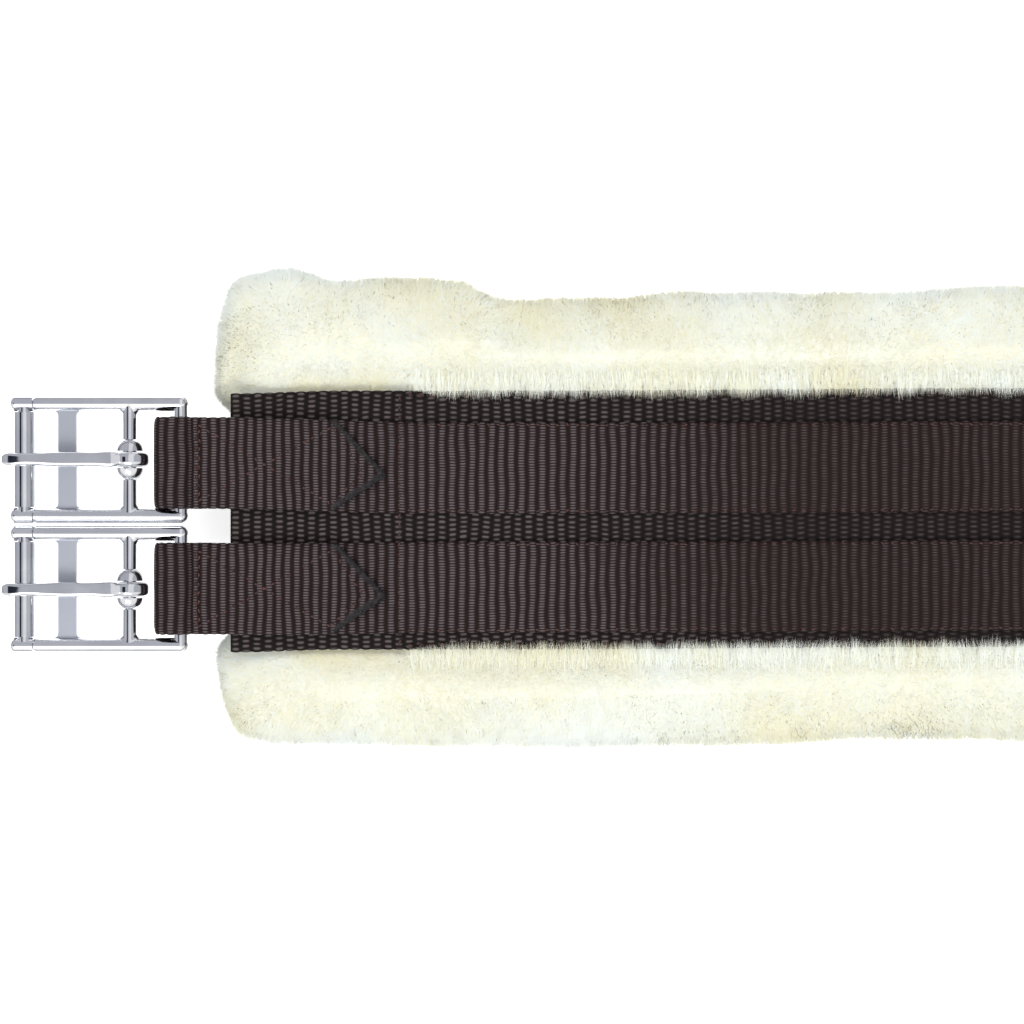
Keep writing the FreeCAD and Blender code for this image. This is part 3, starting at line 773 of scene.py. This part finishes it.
def settle(piece):
    """Fits the swollen skin to the fleece's outline, and presses it flat below and under the webbing."""
    points = points_mm(piece)
    # back to the outline seen from above, which the pressure and the remesh have shifted
    bin_size = 6
    bins = np.round((points[:, 0] + FLEECE_REACH) / bin_size).astype(int)
    count = bins.max() + 1
    high, low = np.full(count, -1e3), np.full(count, 1e3)
    np.maximum.at(high, bins, points[:, 1])
    np.minimum.at(low, bins, points[:, 1])
    known = high > low + 10
    at = np.arange(count)[known] * bin_size - FLEECE_REACH
    points[:, 0] *= (FLEECE_REACH + REAR_EXTRA - PILE) / np.abs(points[:, 0]).max()
    front_now = np.interp(points[:, 0], at, high[known])
    rear_now = np.interp(points[:, 0], at, low[known])
    front, rear, _ = outline(points[:, 0])
    share = (points[:, 1] - rear_now) / (front_now - rear_now)
    points[:, 1] = rear + share * (front - rear)
    normals = np.empty(len(piece.data.vertices) * 3, np.float32)
    piece.data.vertices.foreach_get("normal", normals)
    normals = normals.reshape(-1, 3)
    lump = 0.4 * Waves(71, 40)(points) + 0.3 * Waves(72, 16)(points) + 0.2 * Waves(73, 7)(points)
    points = points + normals * lump[:, None]
    aside = np.abs(points[:, 1] - base_middle(points[:, 0]))
    ceiling = SKIN_SEAT + (SKIN_ROLL + 1.0 - SKIN_SEAT) * smooth(BASE_HALF - 1, BASE_HALF + 12, aside)
    # a soft lower of the two, so that no crease shows where the webbing's pressure ends
    soft = 1.2
    lower = np.minimum(points[:, 2], ceiling)
    lower -= soft * np.log1p(np.exp(-np.abs(points[:, 2] - ceiling) / soft))
    points[:, 2] = np.maximum(lower, SKIN_BOTTOM)
    limit = end_reach(points[:, 1]) - PILE
    points[:, 0] = np.clip(points[:, 0], -limit, limit)
    set_points_mm(piece, points)


def surface_samples(piece, count, rng):
    """Random points on a mesh, evenly by area, with their normals."""
    mesh = piece.data
    mesh.calc_loop_triangles()
    tris = np.empty(len(mesh.loop_triangles) * 3, np.int32)
    mesh.loop_triangles.foreach_get("vertices", tris)
    tris = tris.reshape(-1, 3)
    points = points_mm(piece)
    normals = np.empty(len(points) * 3, np.float32)
    mesh.vertices.foreach_get("normal", normals)
    normals = normals.reshape(-1, 3)
    a, b, c = points[tris[:, 0]], points[tris[:, 1]], points[tris[:, 2]]
    area = np.linalg.norm(np.cross(b - a, c - a), axis=1)
    pick = rng.choice(len(tris), size=count, p=area / area.sum())
    u, v = rng.random(count), rng.random(count)
    swap = u + v > 1
    u[swap], v[swap] = 1 - u[swap], 1 - v[swap]
    w = 1 - u - v
    where = a[pick] * w[:, None] + b[pick] * u[:, None] + c[pick] * v[:, None]
    n = (normals[tris[pick, 0]] * w[:, None] + normals[tris[pick, 1]] * u[:, None]
         + normals[tris[pick, 2]] * v[:, None])
    return where, n / np.linalg.norm(n, axis=1)[:, None]


def unit(vectors):
    return vectors / np.maximum(np.linalg.norm(vectors, axis=1), 1e-9)[:, None]


def strand_piece(name, roots, mids, tips, normals, material, rng):
    """One mesh of thin, tapered blades: root to bend to tip, shaded like the surface they stand on."""
    count = len(roots)
    way = unit(mids - roots)
    # the front of every blade looks outward
    lit = unit(normals + np.array([0, 0, 0.7]))
    side = unit(np.cross(way, lit + rng.normal(0, 0.25, (count, 3))))
    side *= np.where(np.sum(np.cross(side, mids - roots) * lit, axis=1) < 0, -1, 1)[:, None]
    turned = np.sum(np.cross(side, tips - mids) * lit, axis=1) < 0
    half = side * (STRAND_WIDTH / 2)
    verts = np.stack([roots - half, roots + half, mids + half * 0.8, mids - half * 0.8, tips], axis=1)
    loops = np.arange(count)[:, None] * 5 + np.array([0, 1, 2, 3, 3, 2, 4])
    loops[turned, 4:] = loops[turned, 4:][:, ::-1]
    mesh = bpy.data.meshes.new(name)
    mesh.vertices.add(count * 5)
    mesh.vertices.foreach_set("co", (verts * MM).astype(np.float32).ravel())
    mesh.loops.add(count * 7)
    mesh.loops.foreach_set("vertex_index", loops.astype(np.int32).ravel())
    mesh.polygons.add(count * 2)
    starts = np.arange(count)[:, None] * 7 + np.array([0, 4])
    mesh.polygons.foreach_set("loop_start", starts.astype(np.int32).ravel())
    mesh.update(calc_edges=True)
    mesh.materials.append(material)
    mesh.shade_smooth()
    # a deep pile scatters light about, so it is lit more evenly than a hard surface
    shading = unit(lit + 0.08 * way + rng.normal(0, 0.05, (count, 3)))
    mesh.normals_split_custom_set_from_vertices(np.repeat(shading, 5, axis=0))
    piece = bpy.data.objects.new(name, mesh)
    bpy.context.collection.objects.link(piece)
    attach(piece, "girth")
    # fine translucent fibres hardly shade one another
    piece.visible_shadow = False
    return piece


def pile_strands(roots, normals, rng):
    """Where each strand of the pile bends and ends. Neighbours lean together, and a few stray."""
    count = len(roots)
    comb = np.column_stack([Waves(81 + i, 30)(roots) for i in range(3)])
    clump = np.column_stack([Waves(84 + i, 5)(roots) for i in range(3)])
    stray = np.where(rng.random(count) < 0.05, 1.5, 1.0)
    length = PILE * (1.35 + rng.normal(0, 0.10, count)) * stray
    way = unit(normals + 0.40 * comb + 0.18 * clump + rng.normal(0, 0.3, (count, 3)))
    bend = unit(way + 0.35 * clump + rng.normal(0, 0.3, (count, 3)) + np.array([0, 0, -0.05]))
    mids = roots + way * (length * 0.55)[:, None]
    tips = mids + bend * (length * 0.45)[:, None]
    # strands that would go into the floor are shorter
    lowest = np.minimum(mids[:, 2], tips[:, 2])
    room = (roots[:, 2] - 0.15) / np.maximum(roots[:, 2] - lowest, 1e-6)
    share = np.clip(room, 0, 1)[:, None]
    return roots + (mids - roots) * share, roots + (tips - roots) * share


def keep_clear(points):
    """Keeps the pile below the webbing and short of the buckles."""
    x, y, z = points.T
    covered = (np.abs(y - base_middle(x)) < BASE_HALF + 0.2) & (np.abs(x) < BASE_REACH)
    z = np.where(covered, np.minimum(z, BASE_BOTTOM - 0.2), z)
    limit = end_reach(y) + 1.5
    return np.column_stack([np.clip(x, -limit, limit), y, z])


def edge_tufts(count, rng):
    """Wisps that stand beside the base webbing and curl over its edge, between the two cross seams."""
    x = rng.uniform(-CROSS_SEAM_X + 3, CROSS_SEAM_X - 3, count)
    side = rng.choice([-1, 1], count)
    tuft = 0.5 + 0.5 * Waves(101, 9)(np.column_stack([x, side * 50, x * 0]))
    tuft = np.clip(tuft + 0.35 * Waves(102, 3.4)(np.column_stack([x, side * 50, x * 0])), 0, 1)
    fade = smooth(0, 16, CROSS_SEAM_X - np.abs(x))
    edge = base_middle(x) + side * BASE_HALF
    outward = 0.4 + 7.5 * (1 - np.sqrt(rng.random(count)))
    roots = np.column_stack([x, edge + side * outward, rng.uniform(20, 23, count)])
    over = 0.2 + fade * (rng.uniform(0, 2.0, count) + 2.2 * tuft * rng.beta(1.3, 1.8, count))
    lean = 0.9 * Waves(103, 8)(roots) + rng.normal(0, 0.8, count)
    mids = roots + np.column_stack([lean * 0.4, side * 0.1, BASE_TOP + 0.6 - roots[:, 2]])
    rise = rng.uniform(0.1, 1.2, count)
    tips = np.column_stack([mids[:, 0] + lean * 0.9, edge - side * over, mids[:, 2] + rise])
    normals = unit(np.column_stack([x * 0, side * -0.2, x * 0 + 1]))
    return roots, mids, tips, normals


def make_pile(skin, shades):
    """The pile: strands on every side of the fleece that the webbing doesn't cover."""
    rng = np.random.default_rng(91)
    pieces_per_shade, per_piece = 2, 66000
    total = pieces_per_shade * per_piece * len(shades)
    roots, normals = surface_samples(skin, int(total * 1.9), rng)
    outside = np.abs(roots[:, 1] - base_middle(roots[:, 0])) - BASE_HALF
    hidden = (outside < -2.5) & (roots[:, 2] > 14) & (np.abs(roots[:, 0]) < BASE_REACH - 3)
    below = (normals[:, 2] < -0.5) & (rng.random(len(roots)) < 0.65)
    keep = ~hidden & ~below
    tuft_count = 26000
    roots, normals = roots[keep][:total - tuft_count], normals[keep][:total - tuft_count]
    mids, tips = pile_strands(roots, normals, rng)
    mids, tips = keep_clear(mids), keep_clear(tips)
    tufts = edge_tufts(tuft_count, rng)
    roots, mids, tips, normals = (np.vstack(pair) for pair in zip((roots, mids, tips, normals), tufts))
    cloud = 0.6 * Waves(97, 70)(roots) + 0.35 * Waves(98, 22)(roots)
    # yellower and darker towards the webbing, in the folds: the pile's yellower roots show there, and the
    # darkening is painted shade of the fold
    outside = np.abs(roots[:, 1] - base_middle(roots[:, 0])) - BASE_HALF
    cloud -= 1.6 * (1 - smooth(0, 9, outside)) * smooth(225, 232, np.abs(roots[:, 0])) \
        * (1 - smooth(250, 258, np.abs(roots[:, 0])))
    order = np.argsort(cloud + rng.normal(0, 0.45, len(roots)))
    parts = np.array_split(order, pieces_per_shade * len(shades))
    for i, part in enumerate(parts):
        strand_piece(f"fleece_pile_{i + 1}", roots[part], mids[part], tips[part], normals[part],
                     shades[i // pieces_per_shade], rng)


# ---------------------------------------------------------------- stage

def area_light(name, place, aim, size, power):
    data = bpy.data.lights.new(name, "AREA")
    data.shape = "RECTANGLE"
    data.size, data.size_y = size
    data.energy = power
    light = bpy.data.objects.new(name, data)
    bpy.context.collection.objects.link(light)
    light.location = place
    light.rotation_euler = (Vector(aim) - Vector(place)).to_track_quat("-Z", "Y").to_euler()
    return light


def make_stage():
    half = 30.0
    corners = [(-half, -half, 0), (half, -half, 0), (half, half, 0), (-half, half, 0)]
    mesh = bpy.data.meshes.new("floor")
    mesh.from_pydata(corners, [], [(0, 1, 2, 3)])
    floor = bpy.data.objects.new("floor", mesh)
    bpy.context.collection.objects.link(floor)
    n = Nodes("floor_white")
    n.link(n.ramp(n.noise(3, 2), 0, 1, 0.86, 0.9), n.shader.inputs["Roughness"])
    n.set(Base_Color=(0.95, 0.95, 0.95, 1), Emission_Color=(1, 1, 1, 1), Emission_Strength=0.55)
    mesh.materials.append(n.material)

    world = bpy.data.worlds.new("studio")
    bpy.context.scene.world = world
    n = Nodes(world=world)
    split = n.add("ShaderNodeSeparateXYZ")
    direction = n.add("ShaderNodeTexCoord").outputs["Generated"]
    n.link(direction, split.inputs[0])
    x, y, z = split.outputs
    # A grey room with a wide white softbox towards the front, a narrower one to the right,
    # and a dark patch overhead, where the camera and its stand are
    softbox = n.ramp(y, -0.03, -0.16, 0, 1)
    right = n.math("MULTIPLY", n.ramp(x, 0.0, 0.06, 0, 1), n.ramp(x, 0.5, 0.6, 1, 0))
    high = n.ramp(z, 0.10, 0.42, 0, 1)
    white = n.math("MULTIPLY", n.math("MAXIMUM", softbox, n.math("MULTIPLY", right, 0.75)), high)
    room = n.mix(n.ramp(z, 0.0, 0.35, 0, 1), (0.20, 0.20, 0.22), (0.60, 0.61, 0.66))
    colour = n.mix(white, room, (1.2, 1.2, 1.2))
    toward = n.add("ShaderNodeVectorMath", operation="DOT_PRODUCT")
    n.link(direction, toward.inputs[0])
    toward.inputs[1].default_value = (-0.423, 0.0, 0.906)
    camera_body = n.ramp(toward.outputs["Value"], 0.983, 0.988, 0, 1)
    colour = n.mix(camera_body, colour, (0.02, 0.025, 0.04))
    # beyond the floor the backdrop is plain white
    colour = n.mix(n.add("ShaderNodeLightPath").outputs["Is Camera Ray"], colour, (1.0, 1.0, 1.0))
    n.link(colour, n.tree.nodes["Background"].inputs["Color"])
    n.tree.nodes["Background"].inputs["Strength"].default_value = 1.0

    area_light("key_front", (-0.35, -0.75, 1.0), (-0.1, 0, 0), (0.8, 0.5), 8)
    fill = area_light("fill_back", (0.0, 0.7, 1.2), (-0.05, 0, 0), (1.4, 0.9), 13)
    fill.visible_glossy = False


def make_camera():
    """Straight down on the near end, as far as the photograph shows it."""
    view_width = 0.2765
    lens, sensor = 92.0, 36.0
    data = bpy.data.cameras.new("camera")
    data.lens = lens
    data.sensor_width = sensor
    camera = bpy.data.objects.new("camera", data)
    bpy.context.collection.objects.link(camera)
    x = float(CAD_LOW[0]) + 0.1372
    camera.location = (x, 0.00335, view_width * lens / sensor + FOLD_Z * MM)
    camera.rotation_euler = (0, 0, 0)
    bpy.context.scene.camera = camera


# ---------------------------------------------------------------- the girth

make_camera()
make_stage()
bpy.context.scene.view_settings.view_transform = "Standard"

dress_metal()
# webbing colours: a painted shade for the valleys, the yarn's own brown, then a painted grey highlight for
# the crests
strap_web = webbing_material("strap_webbing", STRAP_YARN, (0.004, 0.002, 0.002), (0.021, 0.010, 0.009),
                             (0.077, 0.062, 0.066), 0.2, 0.45, 1.3)
base_web = webbing_material("base_webbing", BASE_YARN, (0.002, 0.001, 0.001), (0.013, 0.008, 0.008),
                            (0.064, 0.053, 0.050), 0.2, 0.5, 2.0)
thread = thread_material()
for strap_side, sign in SIDES.items():
    make_strap(strap_side, sign, strap_web)
make_base(base_web)
sew(thread)

skin = make_fleece_skin(fleece_skin_material())
shades = {"straw": (0.63, 0.61, 0.44), "cream": (0.64, 0.645, 0.545), "ivory": (0.645, 0.67, 0.605),
          "white": (0.655, 0.69, 0.66)}
make_pile(skin, [pile_material(f"fleece_{name}", colour) for name, colour in shades.items()])
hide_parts("fleece_cover")
dress("padding", felt_material())
